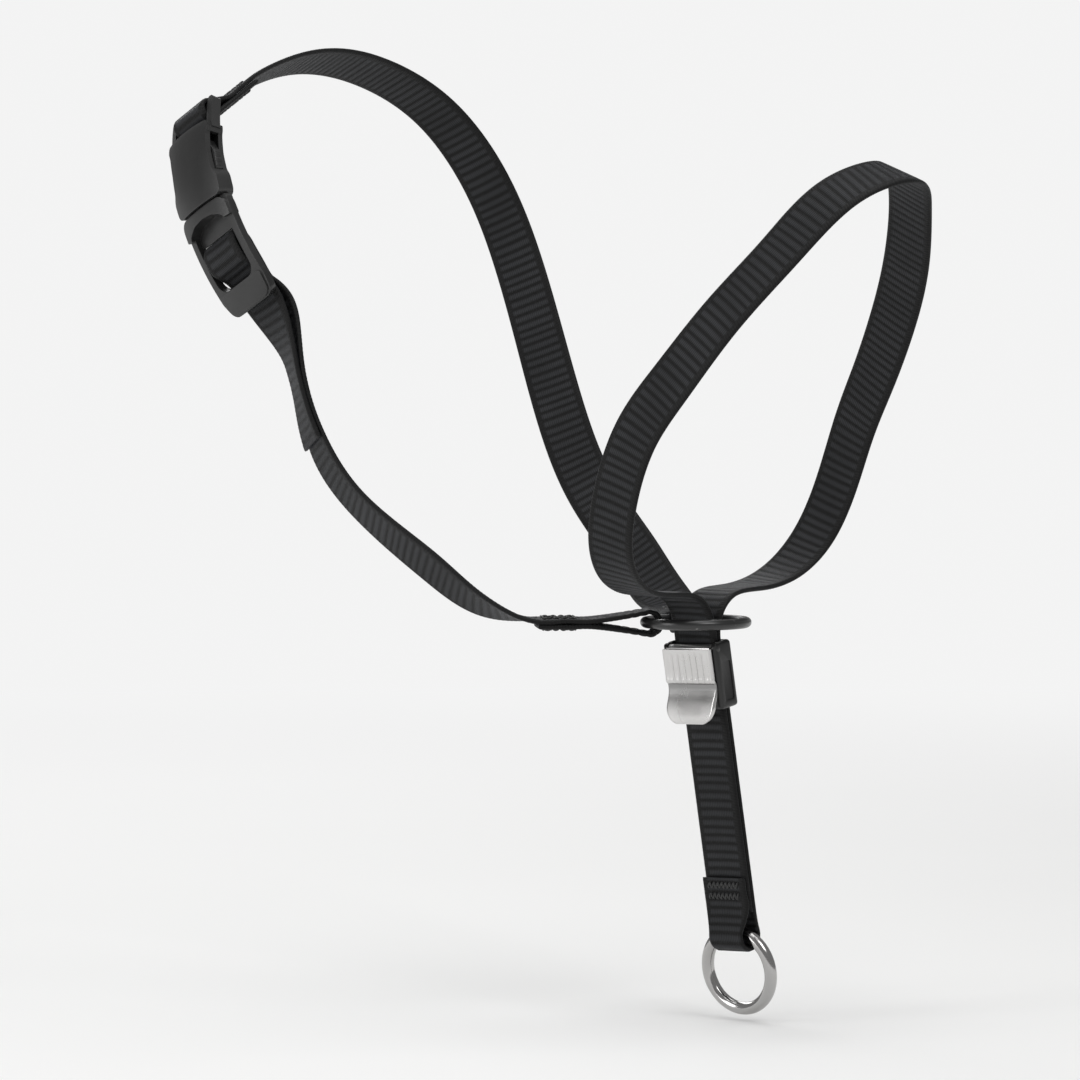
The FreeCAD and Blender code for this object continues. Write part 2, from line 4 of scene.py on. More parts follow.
import bmesh
import bpy
import numpy as np
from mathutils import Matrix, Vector


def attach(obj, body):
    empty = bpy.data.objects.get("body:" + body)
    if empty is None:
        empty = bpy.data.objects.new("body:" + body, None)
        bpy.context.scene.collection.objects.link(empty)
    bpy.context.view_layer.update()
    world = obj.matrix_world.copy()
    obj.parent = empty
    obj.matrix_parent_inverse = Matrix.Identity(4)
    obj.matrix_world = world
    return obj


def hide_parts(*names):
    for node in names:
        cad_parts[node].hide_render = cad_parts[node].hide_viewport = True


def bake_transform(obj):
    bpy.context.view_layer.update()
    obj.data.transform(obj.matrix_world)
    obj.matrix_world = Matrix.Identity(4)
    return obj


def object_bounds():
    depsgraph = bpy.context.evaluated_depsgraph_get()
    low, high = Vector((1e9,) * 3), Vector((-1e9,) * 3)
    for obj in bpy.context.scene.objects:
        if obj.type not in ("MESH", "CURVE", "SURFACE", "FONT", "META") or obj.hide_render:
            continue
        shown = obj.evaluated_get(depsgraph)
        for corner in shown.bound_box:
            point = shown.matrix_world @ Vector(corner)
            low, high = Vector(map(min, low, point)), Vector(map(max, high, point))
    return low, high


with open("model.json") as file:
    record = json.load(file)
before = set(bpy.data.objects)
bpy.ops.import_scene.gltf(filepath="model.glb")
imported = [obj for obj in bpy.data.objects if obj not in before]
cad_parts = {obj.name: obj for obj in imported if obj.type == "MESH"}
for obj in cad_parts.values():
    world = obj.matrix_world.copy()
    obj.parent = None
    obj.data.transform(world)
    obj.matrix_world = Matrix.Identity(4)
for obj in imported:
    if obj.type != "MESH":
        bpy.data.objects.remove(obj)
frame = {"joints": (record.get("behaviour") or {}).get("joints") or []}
SIZE_AT_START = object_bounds()
JOINTS = {joint["name"]: joint for joint in frame["joints"]}
NOISE = np.random.default_rng(11)

# All lengths below are millimetres; MM turns them into the scene's metres.
MM = 0.001


def vec(*numbers):
    return np.array(numbers, float)


def unit(v):
    return v / np.linalg.norm(v, axis=-1, keepdims=True)


def joint_place(name):
    return vec(*JOINTS[name]["pos_m"]) / MM


def joint_axis(name):
    return vec(*JOINTS[name]["axis"])


# ------------------------------------------------------------ the halter's own dimensions

STRAP_WIDTH = 12.7
STRAP_THICK = 1.2
LAYER_PITCH = 1.3
PINCHED_WIDTH = 10.0
RIB_PITCH = 2.1
RIB_DEPTH = 0.2

CHIN_RING_RADIUS = 12.0
CHIN_WIRE_RADIUS = 1.25
CHIN_LOOP_CENTRE = 11.4
CHIN_LOOP_RADIUS = 2.7
FOLD_START = 25.0
FOLD_END = 38.0

# The control strap hangs from the chin ring at a lean. Places on it are (forward, side, up).
CONTROL_FORWARD = joint_axis("leash_ring_swing")
CONTROL_UP = -joint_axis("clamp_slide")
CONTROL_AXES = np.array([CONTROL_FORWARD, np.cross(CONTROL_UP, CONTROL_FORWARD), CONTROL_UP])
LEASH_RING_RADIUS = 9.5
LEASH_WIRE_RADIUS = 1.5
_, _, LEASH_LOOP_Z = np.round(CONTROL_AXES @ joint_place("leash_ring_swing"), 2)
LEASH_LOOP_RADIUS = 3.4
SEAM_TOP_Z = -62.0
SEAM_BOTTOM_Z = -70.0

_, PIN_Y, PIN_Z = np.round(CONTROL_AXES @ joint_place("clamp_lever_open"), 2)

# The buckle is bent round this centre. Places on it are (s along, v outward, w across).
ARC_CENTRE = joint_place("buckle_release")
ARC_WIDE = joint_axis("buckle_release")
ARC_SIDE = unit(np.cross(ARC_WIDE, [-0.465, -0.182, 0.867]))
ARC_UP = np.cross(ARC_SIDE, ARC_WIDE)
ARC_RADIUS = 56.0
ARC_START = 14.0
STRAP_EXIT = 28.0
BAR_WRAP_S = -9.0
FEMALE_BAR_S = 23.4
FEMALE_BAR_V = 2.6
FEMALE_BAR_RADIUS = 1.5
FOLD_TURN = math.radians(75.0)
FOLD_DROP = 1.2
FOLD_STOPS = (7.6, 11.1, 14.6, 18.6)
BUCKLE_MIDDLE_V = 2.8
HALF_BUCKLE = 8.75
CROWN = 0.36              # how much thinner the buckle is at its sides
HOUSING_LOW, HOUSING_HIGH = -0.5, 6.1
CAVITY_LOW, CAVITY_HIGH = 1.15, 4.45
FRAME_LOW, FRAME_HIGH = 1.35, 4.3
SLOT_HALF = 6.85
BAR_HALF = 7.3
ARM_INNER, ARM_OUTER = 6.75, 8.6
CUT_LENGTH, CUT_WIDTH = 1.2, 1.05   # pieces the buckle is cut into before it is bent

CLAMP_HALF = 8.0
CHANNEL_HALF = 6.65
CLAMP_TOP, CLAMP_BOTTOM = -4.4, -20.5
HUB_RADIUS = 1.1
HUB_HALF = 6.5
TOOTH_RADIUS = 0.33
LEVER_HALF_WIDTH = 7.35
LIP_CORNER = 4.2
GROOVE_PITCH = 1.8
GROOVE_DEPTH = 0.22


# ------------------------------------------------------------ curves and frames

def station(point, normal, width=STRAP_WIDTH):
    return np.concatenate([point, normal, [width]])


def mirror_station(row):
    return row * vec(1, -1, 1, 1, -1, 1, 1)


def smooth_through(stations, step):
    """Natural cubic spline through rows whose first three numbers are a point."""
    rows = np.array(stations)
    chords = np.linalg.norm(np.diff(rows[:, :3], axis=0), axis=1)
    spans = np.sqrt(chords)
    count = len(rows)
    system = np.zeros((count, count))
    system[0, 0] = system[-1, -1] = 1
    right = np.zeros(rows.shape)
    slopes = np.diff(rows, axis=0) / spans[:, None]
    for i in range(1, count - 1):
        system[i, i - 1:i + 2] = spans[i - 1], 2 * (spans[i - 1] + spans[i]), spans[i]
        right[i] = 6 * (slopes[i] - slopes[i - 1])
    bends = np.linalg.solve(system, right)
    out = []
    for i in range(count - 1):
        pieces = max(1, math.ceil(chords[i] / step))
        b = np.arange(pieces)[:, None] / pieces
        a = 1 - b
        curl = (a ** 3 - a) * bends[i] + (b ** 3 - b) * bends[i + 1]
        out.append(a * rows[i] + b * rows[i + 1] + curl * spans[i] ** 2 / 6)
    out.append(rows[-1:])
    return np.concatenate(out)


def even_sections(rows, step):
    """Points, normals, across directions, half widths and travelled length at even steps."""
    lengths = np.concatenate([[0], np.cumsum(np.linalg.norm(np.diff(rows[:, :3], axis=0), axis=1))])
    travelled = np.linspace(0, lengths[-1], int(lengths[-1] / step) + 1)
    even = np.stack([np.interp(travelled, lengths, rows[:, c]) for c in range(7)], 1)
    points = even[:, :3]
    along = unit(np.gradient(points, axis=0))
    normals = even[:, 3:6]
    normals = unit(normals - (normals * along).sum(1, keepdims=True) * along)
    return points, normals, np.cross(along, normals), even[:, 6] / 2, travelled


def on_control(x, y, z):
    """Point or direction in the leaning frame of the control strap."""
    return np.stack(np.broadcast_arrays(x, y, z), -1) @ CONTROL_AXES


def arc_directions(s):
    turn = (np.asarray(s, float) + ARC_START)[..., None] / ARC_RADIUS
    outward = np.cos(turn) * ARC_SIDE + np.sin(turn) * ARC_UP
    along = np.cos(turn) * ARC_UP - np.sin(turn) * ARC_SIDE
    return outward, along


def on_arc(s, v=0.0, w=0.0):
    """Point at arc length s, height v above the webbing's arc and width w across it."""
    outward, _ = arc_directions(s)
    v = np.asarray(v, float)[..., None]
    w = np.asarray(w, float)[..., None]
    return ARC_CENTRE + outward * (ARC_RADIUS + v) + ARC_WIDE * w


# ------------------------------------------------------------ paths of the three straps

def nose_cheek():
    return [
        station(vec(0.3, -1.9, 2.0), vec(0, -0.93, -0.36)),
        station(vec(0.4, -6.8, 6.4), vec(0, -0.35, -0.93)),
        station(vec(0.6, -18, 7.6), vec(0, -0.2, -0.98)),
        station(vec(2.2, -29.5, 10.6), vec(-0.04, -0.5, -0.86)),
        station(vec(5.2, -38, 18.5), vec(-0.03, -0.87, -0.5)),
        station(vec(9.5, -41.8, 31), vec(0.02, -0.99, -0.12)),
        station(vec(15.5, -41.6, 46), vec(0.04, -0.99, 0.05)),
        station(vec(23.6, -38.6, 58.4), vec(0, -0.99, 0.12)),
        station(vec(34.2, -33, 73.8), vec(0.05, -0.93, 0.36)),
        station(vec(44.4, -24.4, 88.6), vec(0.2, -0.75, 0.63)),
        station(vec(53, -13.5, 102), vec(0.36, -0.42, 0.83)),
    ]


def control_leg(heights, side, layer=0.5):
    """Straight webbing of the control strap; side is -1 right, 1 left."""
    offset = side * layer * LAYER_PITCH
    return [station(on_control(0, offset, z), on_control(0, side, 0)) for z in heights]


def nose_path():
    leg_heights = (-50, -38, -26, -14, -8, -3)
    right_leg = control_leg((SEAM_BOTTOM_Z - 0.5, -66, -62, *leg_heights), -1)
    top = station(vec(58.5, 0, 106.8), vec(0.36, 0, 0.93))
    left_cheek = [mirror_station(row) for row in reversed(nose_cheek())]
    left_leg = control_leg((*reversed(leg_heights), -62, -66, -69.6), 1)
    loop = []
    for degrees in range(20, -201, -20):
        turn = math.radians(degrees)
        y, z = math.cos(turn), math.sin(turn)
        spot = on_control(0, -LAYER_PITCH / 2 + LEASH_LOOP_RADIUS * y,
                          LEASH_LOOP_Z + LEASH_LOOP_RADIUS * z)
        loop.append(station(spot, on_control(0, y, z), PINCHED_WIDTH))
    fold_back = control_leg((-69.6, -66, SEAM_TOP_Z), -1, 1.5)
    return right_leg + nose_cheek() + [top] + left_cheek + left_leg + loop + fold_back


def chin_fold():
    outwards = unit(vec(-1, -1, 0))
    down = vec(0, 0, -1)
    layer = LAYER_PITCH / 2
    rows = [station(outwards * d + down * layer, -down) for d in (FOLD_END, 33, 29, FOLD_START)]
    for degrees in range(-70, -291, -20):
        turn = math.radians(degrees)
        reach = outwards * math.cos(turn) - down * math.sin(turn)
        spot = outwards * CHIN_LOOP_CENTRE + reach * CHIN_LOOP_RADIUS
        rows.append(station(spot, -reach, PINCHED_WIDTH))
    rows += [station(outwards * d - down * layer, down) for d in (FOLD_START, 29, 33, FOLD_END)]
    return rows


def neck_side():
    return [
        station(vec(-38.2, -33.4, 4.2), vec(-0.1, -0.6, -0.79)),
        station(vec(-50, -38.2, 12.8), vec(-0.1, -0.8, -0.6)),
        station(vec(-67.6, -43.7, 27), vec(-0.25, -0.8, -0.54)),
        station(vec(-78.7, -46.5, 42.1), vec(-0.4, -0.85, -0.35)),
        station(vec(-84.4, -47, 59.6), vec(-0.55, -0.8, -0.35)),
    ]


def arc_station(s, v, lean=0.0):
    """Station on the buckle's arc, its face leaning from outward towards the chin end."""
    outward, along = arc_directions(s)
    angle = math.radians(lean)
    return station(on_arc(s, v), outward * math.cos(angle) - along * math.sin(angle))


def right_neck_path():
    layer = LAYER_PITCH / 2
    up_side = chin_fold() + neck_side()
    leaving = station(on_arc(-STRAP_EXIT, -1.2, 0.8), arc_directions(-STRAP_EXIT)[0])
    behind = [leaving] + [arc_station(s, -layer) for s in (-23, -18, -13.4)]
    outward, along = arc_directions(BAR_WRAP_S)

    def turned(s, v, lean):
        """Station over the bar whose face leans from outward towards the chin end."""
        angle = math.radians(lean)
        return station(on_arc(s, v), outward * math.cos(angle) - along * math.sin(angle))

    over_bar = [turned(-10.3, -0.3, 25), turned(-8.15, 1.5, 88), turned(-9.6, 3.85, 168),
                turned(-12, 4.2, 180), turned(-14.4, 3.75, 198), turned(-16.2, 2.0, 224)]
    loaded = smooth_through([*up_side, behind[0]], 6.0)
    back_down = loaded[loaded[:, 2] > 41][::-1][1:]
    directions = unit(np.gradient(back_down[:, :3], axis=0))
    tail = [arc_station(s, layer, 180) for s in (-18.8, -22, -26)]
    for row, direction in list(zip(back_down, directions))[1:]:
        normal = unit(row[3:6] - row[3:6].dot(direction) * direction)
        tail.append(station(row[:3] + normal * LAYER_PITCH, -normal))
    return up_side + behind + over_bar + tail


def bar_fold_frame():
    """(bar's centre, along, outward) of the sewn fold that leaves the buckle's bar."""
    along = ARC_UP * math.cos(FOLD_TURN) - ARC_SIDE * math.sin(FOLD_TURN)
    outward = ARC_SIDE * math.cos(FOLD_TURN) + ARC_UP * math.sin(FOLD_TURN)
    return on_arc(FEMALE_BAR_S, FEMALE_BAR_V), along, outward


def nape():
    return [
        station(vec(-117, -18, 132), vec(-0.46, -0.22, 0.86)),
        station(vec(-118.2, 0, 134), vec(-0.46, 0, 0.89)),
        station(vec(-117.6, 18, 131.3), vec(-0.43, 0.36, 0.83)),
        station(vec(-114.4, 38, 121.5), vec(-0.36, 0.72, 0.59)),
        station(vec(-108.4, 50.5, 104), vec(-0.34, 0.91, 0.2)),
        station(vec(-100, 53, 84), vec(-0.34, 0.93, -0.1)),
        station(vec(-89.6, 50.2, 62.5), vec(-0.36, 0.89, -0.25)),
    ]


def left_neck_path():
    centre, along, outward = bar_fold_frame()

    def fold(distance, side):
        spot = centre + along * distance + outward * (side * LAYER_PITCH / 2 - FOLD_DROP)
        return station(spot, outward * side)

    rows = [fold(d, -1) for d in reversed(FOLD_STOPS)]
    for degrees in range(-60, -301, -30):
        turn = math.radians(degrees)
        reach = along * math.cos(turn) + outward * math.sin(turn)
        rows.append(station(centre + reach * (FEMALE_BAR_RADIUS + 0.2 + STRAP_THICK / 2), reach))
    rows += [fold(d, 1) for d in FOLD_STOPS]
    down_side = [mirror_station(row) for row in reversed(neck_side()[:-1])]
    return rows + nape() + down_side + [mirror_station(row) for row in reversed(chin_fold())]


# ------------------------------------------------------------ meshes

def mesh_object(name, points, faces, uv=None):
    """Object from points in millimetres; uv gives one pair per point."""
    mesh = bpy.data.meshes.new(name)
    mesh.from_pydata((np.asarray(points) * MM).tolist(), [], faces)
    mesh.update()
    if uv is not None:
        corner = np.empty(len(mesh.loops), np.int64)
        mesh.loops.foreach_get("vertex_index", corner)
        mesh.uv_layers.new(name="UVMap").data.foreach_set("uv", np.asarray(uv)[corner].ravel())
    mesh.shade_smooth()
    obj = bpy.data.objects.new(name, mesh)
    bpy.context.scene.collection.objects.link(obj)
    return obj


def outline_of_section(columns, edge_steps):
    """Round-edged flat section: across fraction, edge part and height part at each point."""
    flat = np.linspace(-1, 1, columns)
    bend = np.linspace(90, -90, edge_steps + 2)[1:-1]
    cosine, sine = np.cos(np.radians(bend)), np.sin(np.radians(bend))
    across = np.concatenate([flat, np.ones(edge_steps), flat[::-1], -np.ones(edge_steps)])
    edge = np.concatenate([0 * flat, cosine, 0 * flat, -cosine])
    height = np.concatenate([0 * flat + 1, sine, 0 * flat - 1, -sine])
    return across, edge, height


def sweep(name, sections, half_thick, columns=19, edge_steps=3, relief=None, phase=None):
    """Flat round-edged band along the sections.

    relief(x, s, height) lifts its surface; phase(x, s, height) is the length stored for its finish.
    """
    points, normals, wide, half_width, travelled = sections
    across, edge, height = outline_of_section(columns, edge_steps)
    thick = np.broadcast_to(np.asarray(half_thick, float), half_width.shape)[:, None]
    x = across * (half_width[:, None] - thick) + edge * thick
    lift = height * thick
    if relief is not None:
        lift = lift + np.sign(height) * relief(x, travelled[:, None], height)
    grid = points[:, None] + wide[:, None] * x[..., None] + normals[:, None] * lift[..., None]
    rings, around = x.shape
    index = np.arange(rings * around).reshape(rings, around)
    beside = np.roll(index, -1, axis=1)
    quads = np.stack([index[:-1], beside[:-1], beside[1:], index[1:]], -1).reshape(-1, 4)
    faces = quads.tolist() + [index[0][::-1].tolist(), index[-1].tolist()]
    length = np.broadcast_to(travelled[:, None], x.shape)
    if phase is not None:
        length = phase(x, length, height)
    uv = np.stack([x * 0.01 + 0.5, length * 0.01], -1)
    obj = mesh_object(name, grid.reshape(-1, 3), faces, uv.reshape(-1, 2))
    obj.data.set_sharp_from_angle(angle=math.radians(55))
    return obj


def smoothstep(low, high, value):
    t = np.clip((value - low) / (high - low), 0, 1)
    return t * t * (3 - 2 * t)


def rib_length(x, s, height):
    """Length along the webbing, bowed and wandering a little, and half a rib on at the back."""
    behind = np.where(height < 0, 0.5, 0.0)
    bow = 0.3 * (x / STRAP_WIDTH) ** 2
    wander = 0.06 * np.sin(s * 0.37) + 0.035 * np.sin(s * 0.91 + 1)
    return s + RIB_PITCH * (behind + bow + wander)


def ribs(x, s, height):
    """Rounded cross ribs on the middle of both faces, fading out at the selvages."""
    turns = math.pi * rib_length(x, s, height) / RIB_PITCH
    wave = np.abs(np.sin(turns)) ** 0.7
    middle = 1 - smoothstep(4.5, 5.3, np.abs(x))
    selvage = 0.3 * np.abs(np.sin(2 * turns)) - 0.1
    flat = np.abs(height) > 0.99
    return flat * RIB_DEPTH * ((wave - 0.65) * middle + selvage * (1 - middle))


def webbing(name, path):
    sections = even_sections(smooth_through(path, 0.5), RIB_PITCH / 7)
    travelled = sections[4]
    from_end = np.minimum(travelled, travelled[-1] - travelled)
    melted = 1 - 0.45 * np.clip(1 - from_end / 0.7, 0, 1) ** 2
    half_thick = (STRAP_THICK / 2 - 0.05) * melted
    return sweep(name, sections, half_thick, columns=23, edge_steps=3, relief=ribs, phase=rib_length)


def tube(points, radii, sides):
    """Closed tube through points: (points, faces)."""
    points = np.asarray(points)
    along = unit(np.gradient(points, axis=0))
    guide = vec(0.31, 0.67, 0.45)
    first = unit(np.cross(along, guide))
    second = np.cross(along, first)
    turn = np.linspace(0, 2 * math.pi, sides, endpoint=False)
    ring = np.cos(turn)[None, :, None] * first[:, None] + np.sin(turn)[None, :, None] * second[:, None]
    grid = points[:, None] + ring * np.asarray(radii)[:, None, None]
    index = np.arange(len(points) * sides).reshape(-1, sides)
    beside = np.roll(index, -1, axis=1)
    quads = np.stack([index[:-1], beside[:-1], beside[1:], index[1:]], -1).reshape(-1, 4)
    return grid.reshape(-1, 3), quads.tolist() + [index[0][::-1].tolist(), index[-1].tolist()]


def merged(name, pieces):
    """One object from several (points, faces) pieces."""
    points, faces, base = [], [], 0
    for piece_points, piece_faces in pieces:
        points.append(piece_points)
        faces += [[i + base for i in face] for face in piece_faces]
        base += len(piece_points)
    return mesh_object(name, np.concatenate(points), faces)


def ring(name, centre, axis_a, axis_b, radius, wire, weld_at):
    """Round wire ring in the plane of two directions, with a low weld bead."""
    segments, sides = 144, 24
    turn = np.linspace(0, 2 * math.pi, segments, endpoint=False)
    outward = np.cos(turn)[:, None] * axis_a + np.sin(turn)[:, None] * axis_b
    axis = np.cross(axis_a, axis_b)
    away = np.abs((turn - weld_at + math.pi) % (2 * math.pi) - math.pi)
    thick = wire * (1 + 0.025 * np.exp(-(away / 0.16) ** 2))
    around = np.linspace(0, 2 * math.pi, sides, endpoint=False)
    bend = np.cos(around)[None, :, None] * outward[:, None] + np.sin(around)[None, :, None] * axis
    grid = centre + outward[:, None] * radius + bend * thick[:, None, None]
    index = np.arange(segments * sides).reshape(segments, sides)
    next_ring = np.roll(index, -1, axis=0)
    quads = np.stack([index, next_ring, np.roll(next_ring, -1, 1), np.roll(index, -1, 1)], -1)
    return mesh_object(name, grid.reshape(-1, 3), quads.reshape(-1, 4).tolist())


# ------------------------------------------------------------ moulded shapes, made flat then placed

def rounded(corners, radius, steps=5):
    """Outline with every corner rounded; a corner may carry its own radius as a third number."""
    out = []
    count = len(corners)
    for i, corner in enumerate(corners):
        here = np.array(corner[:2], float)
        before = unit(np.array(corners[i - 1][:2]) - here)
        after = unit(np.array(corners[(i + 1) % count][:2]) - here)
        size = corner[2] if len(corner) > 2 else radius
        half = math.acos(np.clip(before.dot(after), -1, 1)) / 2
        if size <= 0 or half > 1.55:
            out.append(here)
            continue
        room = min(np.linalg.norm(np.array(corners[i - 1][:2]) - here),
                   np.linalg.norm(np.array(corners[(i + 1) % count][:2]) - here))
        reach = min(size / math.tan(half), 0.47 * room)
        size = reach * math.tan(half)
        middle = here + unit(before + after) * size / math.sin(half)
        start = here + before * reach - middle
        end = here + after * reach - middle
        first = math.atan2(start[1], start[0])
        sweep_angle = (math.atan2(end[1], end[0]) - first + math.pi) % (2 * math.pi) - math.pi
        for k in range(steps + 1):
            turn = first + sweep_angle * k / steps
            out.append(middle + size * vec(math.cos(turn), math.sin(turn)))
    return out


def prism(outline, low, high, plane="xy"):
    """Temporary object: an outline extruded between two heights, in millimetres."""
    count = len(outline)
    layers = [[(p[0], p[1], h) for p in outline] for h in (low, high)]
    points = np.array(layers[0] + layers[1], float)
    if plane == "yz":
        points = points[:, [2, 0, 1]]
    if plane == "xz":
        points = points[:, [0, 2, 1]]
    faces = [list(range(count))[::-1], list(range(count, 2 * count))]
    faces += [[i, (i + 1) % count, (i + 1) % count + count, i + count] for i in range(count)]
    mesh = bpy.data.meshes.new("blank")
    mesh.from_pydata(points.tolist(), [], faces)
    shape = bmesh.new()
    shape.from_mesh(mesh)
    bmesh.ops.recalc_face_normals(shape, faces=shape.faces)
    shape.to_mesh(mesh)
    shape.free()
    obj = bpy.data.objects.new("blank", mesh)
    bpy.context.scene.collection.objects.link(obj)
    return obj


def block(x, y, z):
    return prism([(x[0], y[0]), (x[1], y[0]), (x[1], y[1]), (x[0], y[1])], z[0], z[1])


def disc(centre, radius, low, high, plane, steps=32):
    turns = [2 * math.pi * k / steps for k in range(steps)]
    outline = [(centre[0] + radius * math.cos(t), centre[1] + radius * math.sin(t)) for t in turns]
    return prism(outline, low, high, plane)


def settle(obj):
    """Turn an object's modifiers into mesh."""
    graph = bpy.context.evaluated_depsgraph_get()
    mesh = bpy.data.meshes.new_from_object(obj.evaluated_get(graph))
    obj.modifiers.clear()
    obj.data = mesh
    return obj


def combine(obj, others, operation):
    for other in others:
        step = obj.modifiers.new("combine", "BOOLEAN")
        step.operation = operation
        step.object = other
        step.solver = "EXACT"
        settle(obj)
        bpy.data.objects.remove(other)
    return obj


def soften(obj, width, segments=3, angle=32):
    """Round every sharp edge."""
    step = obj.modifiers.new("soften", "BEVEL")
    step.width = width
    step.segments = segments
    step.limit_method = "ANGLE"
    step.angle_limit = math.radians(angle)
    step.use_clamp_overlap = True
    return settle(obj)


def slice_across(obj, axis, low, high, step):
    """Cut a mesh into short lengths so that it can bend."""
    shape = bmesh.new()
    shape.from_mesh(obj.data)
    direction = Vector((0, 0, 0))
    direction[axis] = 1
    for where in np.arange(low, high, step):
        everything = shape.verts[:] + shape.edges[:] + shape.faces[:]
        spot = Vector((0, 0, 0))
        spot[axis] = where
        bmesh.ops.bisect_plane(shape, geom=everything, plane_co=spot, plane_no=direction)
    bmesh.ops.remove_doubles(shape, verts=shape.verts[:], dist=0.002)
    shape.to_mesh(obj.data)
    shape.free()
    return obj


def place(obj, name, mapping, sharp=38):
    """Move a flat-made shape to its place through a mapping of its points."""
    co = np.empty(len(obj.data.vertices) * 3)
    obj.data.vertices.foreach_get("co", co)
    co = mapping(co.reshape(-1, 3)) * MM
    obj.data.vertices.foreach_set("co", co.ravel())
    shape = bmesh.new()
    shape.from_mesh(obj.data)
    bmesh.ops.recalc_face_normals(shape, faces=shape.faces)
    shape.to_mesh(obj.data)
    shape.free()
    obj.data.shade_smooth()
    obj.data.set_sharp_from_angle(angle=math.radians(sharp))
    obj.name = name
    obj.data.name = name
    return obj


def onto_arc(co):
    """Flat (s, w, v) points bent onto the buckle's arc, crowned: thinner towards the sides."""
    s, w, v = co.T
    v = BUCKLE_MIDDLE_V + (v - BUCKLE_MIDDLE_V) * (1 - CROWN * np.abs(w / HALF_BUCKLE) ** 2.2)
    return on_arc(s, v, w)


def onto_control(co):
    return on_control(*co.T)


# ------------------------------------------------------------ the buckle

def make_buckle_female():
    half_outline = [(0.1, -8.5, 1.8), (4.6, -8.75, 3), (6.4, -7.7, 3), (11, -7.35, 8),
                    (15.6, -7.7, 3), (17, -8.4, 2), (18.5, -8.0, 1.8)]
    mirrored = [(s, -w, size) for s, w, size in reversed(half_outline)]
    shell = prism(rounded(half_outline + mirrored, 1.0), HOUSING_LOW, HOUSING_HIGH)
    for side in (-1, 1):
        edges = sorted((ARM_INNER * side, ARM_OUTER * side))
        arm = prism(rounded([(17, edges[0], 0), (25.5, edges[0], 0.8), (25.5, edges[1], 0.8),
                             (17, edges[1], 0)], 0.5), 0.8, 4.5)
        combine(shell, [arm], "UNION")
    rod = disc((FEMALE_BAR_S, FEMALE_BAR_V), FEMALE_BAR_RADIUS, -7.2, 7.2, "xz")
    combine(shell, [rod], "UNION")
    cavity = block((-2, 16.9), (-6.9, 6.9), (CAVITY_LOW, CAVITY_HIGH))
    window = prism(rounded([(6.3, -12), (15.9, -12), (15.9, 12), (6.3, 12)], 0.01),
                   CAVITY_LOW, CAVITY_HIGH)
    combine(shell, [cavity, window], "DIFFERENCE")
    soften(shell, 0.7, 4)
    slice_across(shell, 0, 0.6, 25.5, CUT_LENGTH)
    slice_across(shell, 1, -8.4, 8.5, CUT_WIDTH)
    return place(shell, "buckle_female_shell", onto_arc)


def make_buckle_male():
    wide = HALF_BUCKLE
    outline = rounded([(-25.3, -7.7, 3.2), (-21, -wide, 4), (-1, -wide, 1), (0, -8.4, 2.4),
                       (0, 8.4, 2.4), (-1, wide, 1), (-21, wide, 4), (-25.3, 7.7, 3.2)], 1.0)
    body = prism(outline, FRAME_LOW, FRAME_HIGH)
    lip = prism(rounded([(-5.2, -wide, 0.4), (-0.4, -8.6, 3.6), (-0.4, 8.6, 3.6), (-5.2, wide, 0.4)],
                        0.5), 0.95, 5.8)
    end_bar = prism(rounded([(-25.0, -7.4, 2.6), (-19.3, -8.3, 0.8), (-19.3, 8.3, 0.8),
                             (-25.0, 7.4, 2.6)], 1.0), 3.0, 4.9)
    combine(body, [lip, end_bar], "UNION")
    opening = prism(rounded([(-19.2, -SLOT_HALF, 2.8), (-4.6, -SLOT_HALF, 1.6), (-3.1, -3.6, 3),
                             (-2.7, 0, 8), (-3.1, 3.6, 3), (-4.6, SLOT_HALF, 1.6),
                             (-19.2, SLOT_HALF, 2.8)], 0.5), 0, 9)
    combine(body, [opening], "DIFFERENCE")
    middle_bar = block((-14.0, -9.7), (-BAR_HALF, BAR_HALF), (1.45, 3.0))
    recess_floor = block((-7.5, -2.4), (-BAR_HALF, BAR_HALF), (1.45, 2.3))
    tongue = prism(rounded([(-0.5, -1.5, 0), (11.5, -1.5, 0.8), (12.5, -0.8, 0.3), (12.5, 0.8, 0.3),
                            (11.5, 1.5, 0.8), (-0.5, 1.5, 0)], 0.3), 1.4, 4.2)
    combine(body, [middle_bar, recess_floor, tongue], "UNION")
    soften(body, 0.6, 4)
    slice_across(body, 0, -25.0, 12, CUT_LENGTH)
    slice_across(body, 1, -8.4, 8.5, CUT_WIDTH)
    return place(body, "buckle_male_slider", onto_arc)


def make_prong(side, name):
    outline = rounded([(0.15, 3.4, 0.4), (0.15, 6.0, 0.3), (5.6, 5.85, 1.2), (6.7, 8.15, 0.9),
                       (10.6, 8.25, 2.4), (15, 5.7, 0.9), (15, 3.95, 0.6), (9, 3.95, 6)], 0.4)
    arm = prism([(s, side * w) for s, w in outline], 1.45, 4.15)
    grooves = [disc((s, side * 8.75), 0.62, 0, 9, "xy", 16) for s in (7.9, 9.2, 10.5)]
    combine(arm, grooves, "DIFFERENCE")
    soften(arm, 0.25, 2)
    slice_across(arm, 0, 0.8, 15, CUT_LENGTH)
    return place(arm, name, onto_arc)


# ------------------------------------------------------------ the clamp

